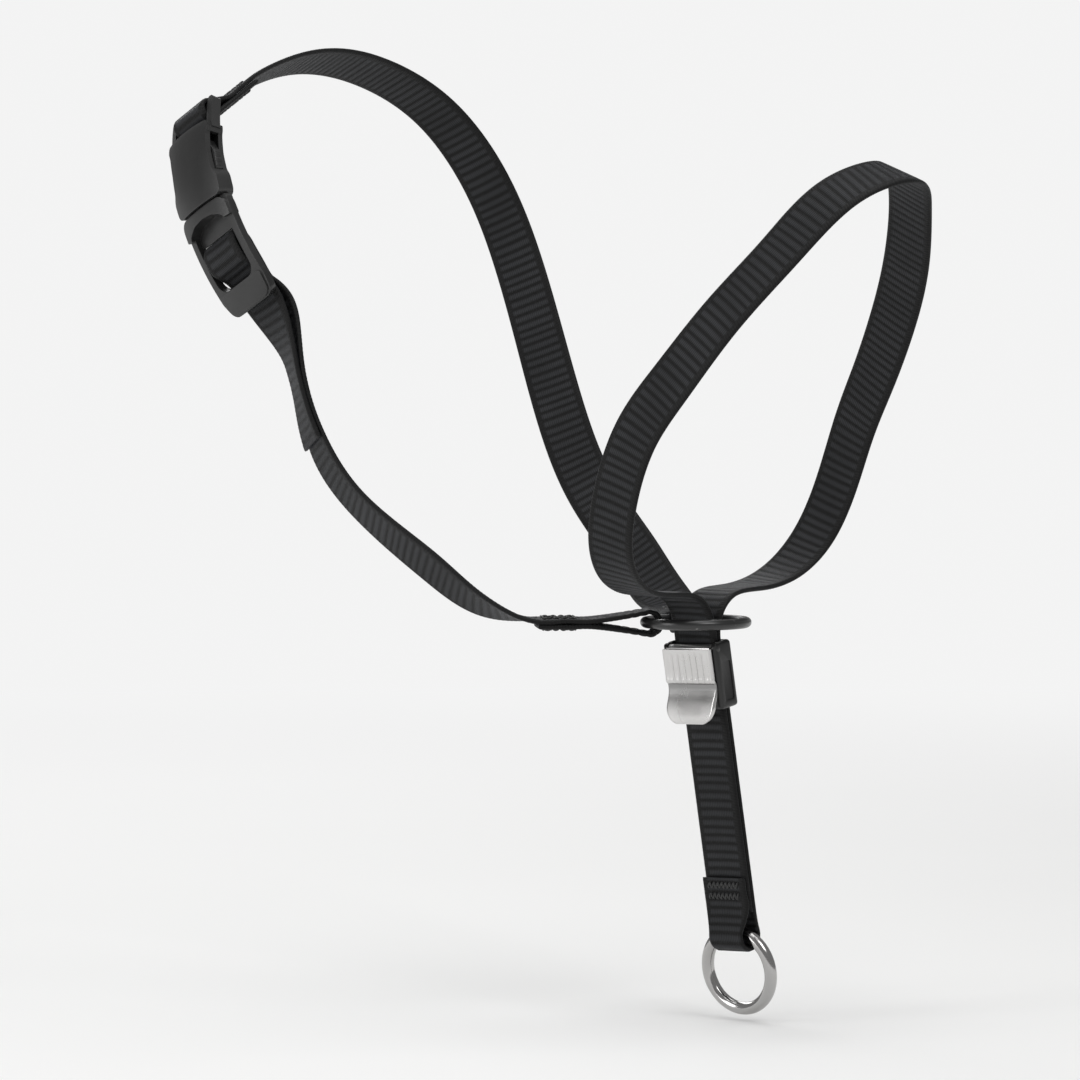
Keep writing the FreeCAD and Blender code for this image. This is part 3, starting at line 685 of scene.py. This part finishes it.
def make_clamp_body():
    body = block((-CLAMP_HALF, CLAMP_HALF), (-3.9, 2.5), (CLAMP_BOTTOM, CLAMP_TOP))
    soften(body, 0.9, 4)
    channel = block((-CHANNEL_HALF, CHANNEL_HALF), (-6, 1.35), (-22, -3))
    above_ear = block((-20, 20), (-6, -1.9), (PIN_Z + 0.4, -2))
    keep = disc((PIN_Y, PIN_Z), 1.3, -21, 21, "yz")
    combine(above_ear, [keep], "DIFFERENCE")
    combine(body, [channel, above_ear], "DIFFERENCE")
    sill = block((-7.2, 7.2), (-2.9, -1.7), (CLAMP_BOTTOM, CLAMP_BOTTOM + 3))
    combine(body, [sill], "UNION")
    hollows = []
    for side in (-1, 1):
        panel = prism(rounded([(-2.2, -18.6), (1.2, -18.6), (1.2, -9.2), (-2.2, -9.2)], 0.7),
                      7.7 * side, 9 * side, "yz")
        hollows.append(panel)
    for k in range(5):
        z = -7.6 - 2.4 * k
        hollows.append(disc((2.75, z), 0.5, -5.6, 5.6, "yz", 16))
    combine(body, hollows, "DIFFERENCE")
    soften(body, 0.22, 2)
    return place(body, "clamp_channel", onto_control)


def make_clamp_pin():
    pin = disc((PIN_Y, PIN_Z), 0.72, -8.05, 8.05, "yz", 28)
    soften(pin, 0.18, 2)
    return place(pin, "clamp_hinge_pin", onto_control)


def lever_relief(x, s, height):
    """Fine upright grooves on the flat face of the lever."""
    on_face = smoothstep(0.6, 1.8, s) * (1 - smoothstep(7.5, 8.2, s))
    inside = 1 - smoothstep(5.6, 6.4, np.abs(x))
    groove = np.abs(np.sin(math.pi * x / GROOVE_PITCH)) ** 8
    return np.where(height > 0.9, -GROOVE_DEPTH * groove * on_face * inside, 0.0)


def make_clamp_lever():
    """The plate is one swept band; its thickness follows the flat face, the recess and the lip."""
    profile = [  # y, z, thickness
        (-4.7, PIN_Z + 0.3, 1.3), (-4.7, -8.5, 1.4), (-4.7, -12.6, 1.4), (-4.69, -13.4, 1.38),
        (-4.45, -13.7, 0.9), (-4.25, -14.2, 0.6), (-4.25, -15.4, 0.6), (-4.5, -16.6, 0.8),
        (-5.05, -17.9, 1.05), (-5.75, -19.4, 1.15), (-6.3, -21.0, 1.1), (-6.62, -22.4, 1.0),
        (-6.72, -23.3, 0.9),
    ]
    rows = [station(on_control(0, y, z), on_control(0, -1, 0), thick) for y, z, thick in profile]
    points, normals, wide, half_thick, travelled = even_sections(smooth_through(rows, 0.1), 0.16)
    into = np.clip(travelled - (travelled[-1] - LIP_CORNER), 0, LIP_CORNER)
    half_width = LEVER_HALF_WIDTH - (LIP_CORNER - np.sqrt(LIP_CORNER ** 2 - (into * 0.96) ** 2))
    plate = sweep("lever_plate", (points, normals, wide, half_width, travelled), half_thick,
                  columns=85, edge_steps=5, relief=lever_relief)
    hub = disc((PIN_Y, PIN_Z), HUB_RADIUS, -HUB_HALF, HUB_HALF, "yz", 40)
    for degrees in (15, -15, -45):
        turn = math.radians(degrees)
        spot = (PIN_Y + math.cos(turn), PIN_Z + math.sin(turn))
        combine(hub, [disc(spot, TOOTH_RADIUS, -HUB_HALF, HUB_HALF, "yz", 14)], "UNION")
    web = block((-HUB_HALF, HUB_HALF), (-4.3, PIN_Y), (PIN_Z - HUB_RADIUS, PIN_Z + 0.5))
    combine(hub, [web], "UNION")
    soften(hub, 0.1, 2)
    place(hub, "lever_hub", onto_control)
    return joined("clamp_flip_lever", [plate, hub])


def joined(name, objects):
    """One object holding the meshes of several."""
    shape = bmesh.new()
    for obj in objects:
        shape.from_mesh(obj.data)
        bpy.data.objects.remove(obj)
    mesh = bpy.data.meshes.new(name)
    shape.to_mesh(mesh)
    shape.free()
    obj = bpy.data.objects.new(name, mesh)
    bpy.context.scene.collection.objects.link(obj)
    return obj


# ------------------------------------------------------------ stitching

def stitch(start, end, normal, radius=0.24, rise=0.16):
    """One visible stitch: a short thread that dips into the webbing at both ends."""
    t = np.linspace(0, 1, 7)[:, None]
    arch = np.sin(math.pi * t) ** 0.5
    points = start + (end - start) * t + normal * (rise * arch - 0.22 * (1 - arch))
    return tube(points, radius * (0.7 + 0.3 * np.sin(math.pi * t[:, 0])), 7)


def stitch_line(surface, start, end, pitch, height):
    """Row of stitches between two (along, across) places on a surface."""
    start, end = np.array(start, float), np.array(end, float)
    count = max(1, round(np.linalg.norm(end - start) / pitch))
    pieces = []
    for k in range(count):
        a = start + (end - start) * (k + 0.08) / count
        b = start + (end - start) * (k + 0.92) / count
        a = a + NOISE.normal(0, 0.05, 2)
        b = b + NOISE.normal(0, 0.05, 2)
        p, n = surface(*a, height)
        q, _ = surface(*b, height)
        pieces.append(stitch(p, q, n))
    return pieces


def tack(surface, place_along, half, height):
    """Dense zigzag bar across the webbing."""
    pieces = []
    count = 15
    for k in range(count):
        x = -half + 2 * half * k / (count - 1)
        lean = 0.28 if k % 2 else -0.28
        p, n = surface(place_along - 0.75, x - lean, height)
        q, _ = surface(place_along + 0.75, x + lean, height)
        pieces.append(stitch(p, q, n, radius=0.25, rise=0.2))
    return pieces


def box_of_stitches(surface, start, end, half, height, crossed):
    corners = [(start, -half), (start, half), (end, half), (end, -half)]
    pieces = []
    for a, b in zip(corners, corners[1:] + corners[:1]):
        pieces += stitch_line(surface, a, b, 1.75, height)
    if crossed:
        pieces += stitch_line(surface, corners[0], corners[2], 1.85, height)
        pieces += stitch_line(surface, corners[1], corners[3], 1.85, height)
    return pieces


def both_faces(surface, stack):
    """The outer and the inner face of a sewn stack, as surfaces."""
    def outer(a, x, h):
        p, n = surface(a, x)
        return p + n * (stack + h), n

    def inner(a, x, h):
        p, n = surface(a, x)
        return p - n * (stack + h), -n
    return outer, inner


def make_leash_end_stitching():
    def surface(a, x):
        return on_control(x, -LAYER_PITCH / 2, SEAM_TOP_Z - a), on_control(0, -1, 0)
    pieces = []
    for face in both_faces(surface, 1.5 * LAYER_PITCH):
        pieces += tack(face, 1.7, 4.2, 0.02) + tack(face, 4.3, 4.2, 0.02)
    return merged("leash_end_threads", pieces)


def make_chin_stitching(side, name):
    outwards = unit(vec(-1, side, 0))
    across = np.cross(outwards, [0, 0, 1])

    def surface(a, x):
        return outwards * a + across * x, vec(0, 0, -1)
    pieces = []
    for face in both_faces(surface, LAYER_PITCH):
        pieces += box_of_stitches(face, 29.0, 36.6, 4.1, 0.0, True)
    return merged(name, pieces)


def make_buckle_stitching():
    centre, along, outward = bar_fold_frame()

    def surface(a, x):
        return centre + along * a + ARC_WIDE * x - outward * FOLD_DROP, outward
    pieces = []
    for face in both_faces(surface, LAYER_PITCH):
        pieces += box_of_stitches(face, 11.0, 16.8, 4.1, 0.0, True)
    return merged("buckle_fold_threads", pieces)


# ------------------------------------------------------------ materials

class Paint:
    """Small helper that builds one node material."""

    def __init__(self, name):
        self.material = bpy.data.materials.new(name)
        self.material.use_nodes = True
        self.tree = self.material.node_tree
        self.surface = self.tree.nodes["Principled BSDF"]

    def node(self, kind, **settings):
        made = self.tree.nodes.new(kind)
        for key, value in settings.items():
            setattr(made, key, value)
        return made

    def feed(self, socket, value):
        if isinstance(value, bpy.types.NodeSocket):
            self.tree.links.new(value, socket)
        else:
            socket.default_value = value

    def set(self, **inputs):
        for key, value in inputs.items():
            self.feed(self.surface.inputs[key.replace("_", " ")], value)

    def maths(self, operation, a, b=0.0, c=0.0):
        made = self.node("ShaderNodeMath", operation=operation)
        for socket, value in zip(made.inputs, (a, b, c)):
            self.feed(socket, value)
        return made.outputs[0]

    def place(self):
        return self.node("ShaderNodeTexCoord").outputs["Object"]

    def across_along(self):
        """Distance across and along the webbing, in millimetres."""
        uv = self.node("ShaderNodeUVMap", uv_map="UVMap").outputs[0]
        split = self.node("ShaderNodeSeparateXYZ")
        self.feed(split.inputs[0], uv)
        across = self.maths("MULTIPLY_ADD", split.outputs[0], 100.0, -50.0)
        return across, self.maths("MULTIPLY", split.outputs[1], 100.0)

    def noise(self, scale, detail=4.0, rough=0.55, vector=None, stretch=None):
        vector = vector or self.place()
        if stretch:
            mapping = self.node("ShaderNodeMapping")
            self.feed(mapping.inputs["Vector"], vector)
            mapping.inputs["Scale"].default_value = stretch
            vector = mapping.outputs[0]
        made = self.node("ShaderNodeTexNoise")
        self.feed(made.inputs["Vector"], vector)
        made.inputs["Scale"].default_value = scale
        made.inputs["Detail"].default_value = detail
        made.inputs["Roughness"].default_value = rough
        return made.outputs["Fac"]

    def between(self, value, low, high, to_low=0.0, to_high=1.0):
        made = self.node("ShaderNodeMapRange", interpolation_type="SMOOTHSTEP")
        for socket, number in zip(made.inputs, (value, low, high, to_low, to_high)):
            self.feed(socket, number)
        return made.outputs[0]

    def mix(self, factor, first, second):
        made = self.node("ShaderNodeMix", data_type="RGBA")
        self.feed(made.inputs["Factor"], factor)
        self.feed(made.inputs[6], first)
        self.feed(made.inputs[7], second)
        return made.outputs[2]

    def worn_edges(self, low=0.52, high=0.6):
        pointed = self.node("ShaderNodeNewGeometry").outputs["Pointiness"]
        return self.between(pointed, low, high)

    def bump(self, height, strength, distance, below=None):
        made = self.node("ShaderNodeBump")
        made.inputs["Strength"].default_value = strength
        made.inputs["Distance"].default_value = distance * MM
        self.feed(made.inputs["Height"], height)
        if below is not None:
            self.feed(made.inputs["Normal"], below)
        return made.outputs[0]


def grey(value, warm=0.0):
    return (value * (1 + warm), value, value * (1 - warm), 1.0)


def webbing_paint():
    p = Paint("black_webbing")
    across, along = p.across_along()
    from_middle = p.maths("ABSOLUTE", across)
    selvage = p.between(from_middle, 4.4, 5.1)
    rib = p.maths("ABSOLUTE", p.maths("SINE", p.maths("MULTIPLY", along, math.pi / RIB_PITCH)))
    rib = p.maths("POWER", rib, 0.7)
    row = p.maths("FLOOR", p.maths("DIVIDE", along, RIB_PITCH))
    shift = p.maths("MULTIPLY", p.maths("MODULO", row, 2.0), math.pi / 2)
    yarn_angle = p.maths("MULTIPLY_ADD", across, math.pi / 0.52, shift)
    yarn = p.maths("ABSOLUTE", p.maths("SINE", yarn_angle))
    slant = p.maths("MULTIPLY_ADD", along, 2 * math.pi / 0.7, p.maths("MULTIPLY", across, 2.2))
    twill = p.maths("MULTIPLY_ADD", p.maths("SINE", slant), 0.5, 0.5)
    fibre = p.noise(2600, 5, 0.7, stretch=(1.0, 1.0, 1.0))
    patches = p.noise(70, 3, 0.5)
    # Rib crests are painted lighter and the valleys between ribs and yarns darker: painted highlight
    # and painted shade, varied by the fibre noise.
    weave = p.maths("MULTIPLY", rib, p.maths("MULTIPLY_ADD", yarn, 0.45, 0.55))
    painted_crest_light = p.maths("MULTIPLY", p.between(weave, 0.35, 0.98), p.maths("MULTIPLY_ADD", fibre, 0.9, 0.45))
    middle_colour = p.mix(painted_crest_light, grey(0.0035), (0.03, 0.031, 0.034, 1))
    side_colour = p.mix(p.maths("MULTIPLY", twill, 0.5), grey(0.004), grey(0.013))
    colour = p.mix(selvage, middle_colour, side_colour)
    lint = p.between(p.noise(900, 6, 0.75), 0.62, 0.75)
    colour = p.mix(p.maths("MULTIPLY", lint, 0.12), colour, grey(0.08, 0.02))
    shade = p.between(patches, 0.3, 0.7, 0.82, 1.15)
    tint = p.node("ShaderNodeVectorMath", operation="SCALE")
    p.feed(tint.inputs[0], colour)
    p.feed(tint.inputs["Scale"], shade)
    yarns = p.maths("MULTIPLY", yarn, p.maths("SUBTRACT", 1.0, selvage))
    relief = p.maths("ADD", yarns, p.maths("MULTIPLY", twill, p.maths("MULTIPLY", selvage, 0.7)))
    normal = p.bump(relief, 0.55, 0.09)
    normal = p.bump(fibre, 0.35, 0.03, normal)
    p.set(Base_Color=tint.outputs[0], Roughness=p.between(fibre, 0.3, 0.7, 0.5, 0.68), Normal=normal,
          Sheen_Weight=0.05, Sheen_Roughness=0.45, Sheen_Tint=(0.75, 0.78, 0.85, 1),
          Specular_IOR_Level=0.2)
    return p.material


def thread_paint():
    p = Paint("black_thread")
    fibre = p.noise(3800, 4, 0.6)
    p.set(Base_Color=p.mix(fibre, grey(0.007), grey(0.03)), Roughness=0.5, Sheen_Weight=0.12,
          Normal=p.bump(fibre, 0.5, 0.04))
    return p.material


def plastic_paint(name, dark, light, rough):
    p = Paint(name)
    grain = p.noise(5200, 3, 0.6)
    flow = p.noise(90, 3, 0.5, stretch=(1, 1, 0.35))
    scuffs = p.between(p.noise(420, 6, 0.8, stretch=(1, 0.15, 1)), 0.6, 0.72)
    colour = p.mix(p.between(flow, 0.35, 0.65), grey(dark), grey(light))
    edge = p.maths("MULTIPLY", p.worn_edges(), 0.35)
    colour = p.mix(edge, colour, grey(light * 2.6))
    colour = p.mix(p.maths("MULTIPLY", scuffs, 0.12), colour, grey(light * 3.2))
    roughness = p.maths("MULTIPLY_ADD", scuffs, 0.14, rough)
    normal = p.bump(grain, 0.28, 0.02)
    p.set(Base_Color=colour, Roughness=roughness, Normal=normal, Specular_IOR_Level=0.5,
          Coat_Weight=0.06, Coat_Roughness=0.3)
    return p.material


def metal_paint(name, base, rough, brushed, painted_hollow_shade=None):
    """Plated metal; the last argument is (start, deepest, end) of a band of painted shade along a swept
    piece: it begins at start, is full to deepest and fades out by end.
    """
    p = Paint(name)
    smudge = p.noise(60, 4, 0.6)
    brush = p.noise(900, 5, 0.7, stretch=brushed)
    scratch = p.between(p.noise(300, 8, 0.85, stretch=(1.0, 0.08, 0.5)), 0.63, 0.7)
    tone = p.mix(p.between(smudge, 0.3, 0.7), grey(base * 0.9, 0.015), grey(base, 0.01))
    tone = p.mix(p.maths("MULTIPLY", scratch, 0.35), tone, grey(min(1.0, base * 1.15)))
    # Painted shade: the metal is darkened in a band below the lever's step, where shade falls in its
    # hollow.
    if painted_hollow_shade:
        start, deepest, end = painted_hollow_shade
        _, along = p.across_along()
        band = p.maths("MULTIPLY", p.between(along, start - 0.2, start + 0.1),
                       p.between(along, deepest, end, 1.0, 0.0))
        tone = p.mix(p.maths("MULTIPLY", band, 0.75), tone, grey(base * 0.28))
    roughness = p.maths("ADD", p.between(smudge, 0.25, 0.75, rough * 0.8, rough * 1.3),
                        p.maths("MULTIPLY", scratch, 0.12))
    normal = p.bump(brush, 0.12, 0.012)
    p.set(Base_Color=tone, Metallic=1.0, Roughness=roughness, Normal=normal)
    return p.material


def coated_paint():
    p = Paint("black_coated_steel")
    chips = p.between(p.noise(260, 5, 0.7), 0.66, 0.7)
    peel = p.noise(1500, 3, 0.5)
    colour = p.mix(chips, grey(0.014), grey(0.22))
    p.set(Base_Color=colour, Metallic=p.maths("MULTIPLY", chips, 0.9), Roughness=0.34,
          Normal=p.bump(peel, 0.15, 0.02), Coat_Weight=0.25, Coat_Roughness=0.2)
    return p.material


# ------------------------------------------------------------ assembly

def finish_piece(obj, material, body, slot, *nodes):
    obj.data.materials.clear()
    obj.data.materials.append(material)
    if body:
        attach(obj, body)
    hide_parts(*nodes)
    return obj


def build_straps(fabric, thread):
    nose = webbing("nose_webbing", nose_path())
    finish_piece(nose, fabric, "nose_loop", "webbing", "nose_strap")
    left = webbing("left_neck_webbing", left_neck_path())
    finish_piece(left, fabric, "neck_loop", "webbing", "neck_strap_left")
    right = webbing("right_neck_webbing", right_neck_path())
    finish_piece(right, fabric, None, "webbing", "neck_strap_right")
    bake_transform(right)
    finish_piece(make_leash_end_stitching(), thread, "nose_loop", "thread", "leash_end_stitching")
    finish_piece(make_chin_stitching(-1, "chin_threads_right"), thread, "neck_loop", "thread",
                 "chin_stitching_right")
    finish_piece(make_chin_stitching(1, "chin_threads_left"), thread, "neck_loop", "thread",
                 "chin_stitching_left")
    finish_piece(make_buckle_stitching(), thread, "neck_loop", "thread", "buckle_stitching")


def build_rings(bright, coated):
    centre_z = LEASH_LOOP_Z + 0.75 - LEASH_RING_RADIUS
    lean_x, lean_z = on_control(1, 0, 0), on_control(0, 0, 1)
    leash = ring("leash_o_ring", on_control(0, -LAYER_PITCH / 2, centre_z), lean_x, lean_z,
                 LEASH_RING_RADIUS, LEASH_WIRE_RADIUS, math.radians(200))
    finish_piece(leash, bright, "leash_ring_body", "ring_steel", "leash_ring")
    chin = ring("chin_o_ring", vec(0, 0, 0), vec(1, 0, 0), vec(0, 1, 0), CHIN_RING_RADIUS,
                CHIN_WIRE_RADIUS, math.radians(180))
    finish_piece(chin, coated, "neck_loop", "black_metal", "chin_ring")


def build_buckle(plastic):
    finish_piece(make_buckle_female(), plastic, "neck_loop", "buckle_plastic", "buckle_female")
    finish_piece(make_buckle_male(), plastic, "slider", "buckle_plastic", "buckle_male")
    finish_piece(make_prong(1, "upper_prong_arm"), plastic, "upper_prong", "buckle_plastic",
                 "prong_upper")
    finish_piece(make_prong(-1, "lower_prong_arm"), plastic, "lower_prong", "buckle_plastic",
                 "prong_lower")


def build_clamp(plastic, nickel, coated):
    finish_piece(make_clamp_body(), plastic, "clamp", "clamp_plastic", "clamp_body")
    finish_piece(make_clamp_pin(), coated, "clamp", "black_metal", "clamp_pin")
    lever = finish_piece(make_clamp_lever(), nickel, "lever", "nickel", "clamp_lever")
    lever.data.shade_smooth()
    lever.data.set_sharp_from_angle(angle=math.radians(40))


# ------------------------------------------------------------ studio

AZIMUTH = math.radians(40)
ELEVATION = math.radians(3)
PICTURE_WIDTH = 256.5     # width of the scene at the halter, in millimetres
CAMERA_DISTANCE = 1700.0
FLOOR_RADIUS = 12000.0
FLOOR_SIDES = 96
FLOOR_GLOW = 0.12
SURROUND_SEEN = 0.9       # brightness of the surroundings as the camera sees them
SURROUND_LIGHT = 0.28     # and as the halter is lit by them


def view_directions():
    right = vec(math.cos(AZIMUTH), math.sin(AZIMUTH), 0)
    back = vec(math.sin(AZIMUTH) * math.cos(ELEVATION), -math.cos(AZIMUTH) * math.cos(ELEVATION),
               math.sin(ELEVATION))
    return right, np.cross(back, right), back


def add_camera():
    right, up, back = view_directions()
    target = right * -37.0 + up * 19.5
    data = bpy.data.cameras.new("camera")
    data.sensor_width = 36
    data.lens = 36 * CAMERA_DISTANCE / PICTURE_WIDTH
    data.clip_start = 0.05
    data.clip_end = 20
    camera = bpy.data.objects.new("camera", data)
    bpy.context.scene.collection.objects.link(camera)
    camera.location = Vector((target + back * CAMERA_DISTANCE) * MM)
    camera.rotation_mode = "QUATERNION"
    camera.rotation_quaternion = Vector(-back).to_track_quat("-Z", "Y")
    bpy.context.scene.camera = camera


def add_softbox(name, place, aim, size, power, colour=(1, 1, 1)):
    data = bpy.data.lights.new(name, "AREA")
    data.shape = "RECTANGLE"
    data.size, data.size_y = size
    data.energy = power
    data.color = colour
    light = bpy.data.objects.new(name, data)
    bpy.context.scene.collection.objects.link(light)
    light.location = place
    light.rotation_mode = "QUATERNION"
    light.rotation_quaternion = (Vector(aim) - Vector(place)).to_track_quat("-Z", "Y")


def add_floor():
    """Round pale floor that fades into the white surroundings, open to a camera on any side."""
    floor_z = SIZE_AT_START[0].z / MM - 1.5
    turns = np.linspace(0, 2 * math.pi, FLOOR_SIDES, endpoint=False)
    points = [vec(0, 0, floor_z)]
    points += [vec(math.cos(t) * FLOOR_RADIUS, math.sin(t) * FLOOR_RADIUS, floor_z) for t in turns]
    faces = [[0, i + 1, (i + 1) % FLOOR_SIDES + 1] for i in range(FLOOR_SIDES)]
    floor = mesh_object("floor", points, faces)
    p = Paint("pale_floor")
    away = p.node("ShaderNodeVectorMath", operation="LENGTH")
    p.feed(away.inputs[0], p.place())
    far = p.between(away.outputs["Value"], 0.3, 1.1)
    mottle = p.noise(3, 2, 0.5)
    pale = p.mix(mottle, (0.78, 0.78, 0.775, 1), (0.82, 0.82, 0.815, 1))
    p.set(Base_Color=p.mix(far, pale, (0, 0, 0, 1)), Roughness=0.9, Specular_IOR_Level=0.0,
          Emission_Color=(1, 1, 1, 1),
          Emission_Strength=p.maths("MULTIPLY_ADD", far, SURROUND_SEEN - FLOOR_GLOW, FLOOR_GLOW))
    floor.data.materials.append(p.material)


def add_lights():
    right, _, back = view_directions()
    centre = vec(-35, 0, 15)

    def spot(sideways, towards, height):
        flat = unit(vec(back[0], back[1], 0))
        return tuple((centre + right * sideways + flat * towards + vec(0, 0, height)) * MM)

    aim = tuple(centre * MM)
    add_softbox("key", spot(420, 700, 800), aim, (0.5, 0.5), 3.6)
    add_softbox("overhead", spot(-100, 50, 1000), aim, (0.9, 0.9), 5.0)
    add_softbox("fill", spot(-900, 500, 250), aim, (0.4, 0.8), 3.2)
    add_softbox("rim", spot(-300, -900, 500), aim, (0.8, 0.4), 3.0)
    world = bpy.data.worlds.new("studio")
    world.use_nodes = True
    tree = world.node_tree
    surround = tree.nodes["Background"]
    surround.inputs["Color"].default_value = (1, 1, 1, 1)
    seen = tree.nodes.new("ShaderNodeLightPath")
    strength = tree.nodes.new("ShaderNodeMath")
    strength.operation = "MULTIPLY_ADD"
    strength.inputs[1].default_value = SURROUND_SEEN - SURROUND_LIGHT
    strength.inputs[2].default_value = SURROUND_LIGHT
    tree.links.new(seen.outputs["Is Camera Ray"], strength.inputs[0])
    tree.links.new(strength.outputs[0], surround.inputs["Strength"])
    bpy.context.scene.world = world
    bpy.context.scene.view_settings.view_transform = "Standard"


fabric = webbing_paint()
build_straps(fabric, thread_paint())
coated = coated_paint()
build_rings(metal_paint("bright_nickel", 0.5, 0.16, (1, 1, 1)), coated)
build_buckle(plastic_paint("dark_grey_acetal", 0.013, 0.021, 0.34))
# The lever's nickel carries a band of painted shade below its step, 8.1 to 12.2 mm along it.
build_clamp(plastic_paint("black_nylon", 0.006, 0.011, 0.38),
            metal_paint("satin_nickel", 0.64, 0.27, (0.15, 1, 1), (8.1, 9.4, 12.2)), coated)
add_floor()
add_lights()
add_camera()
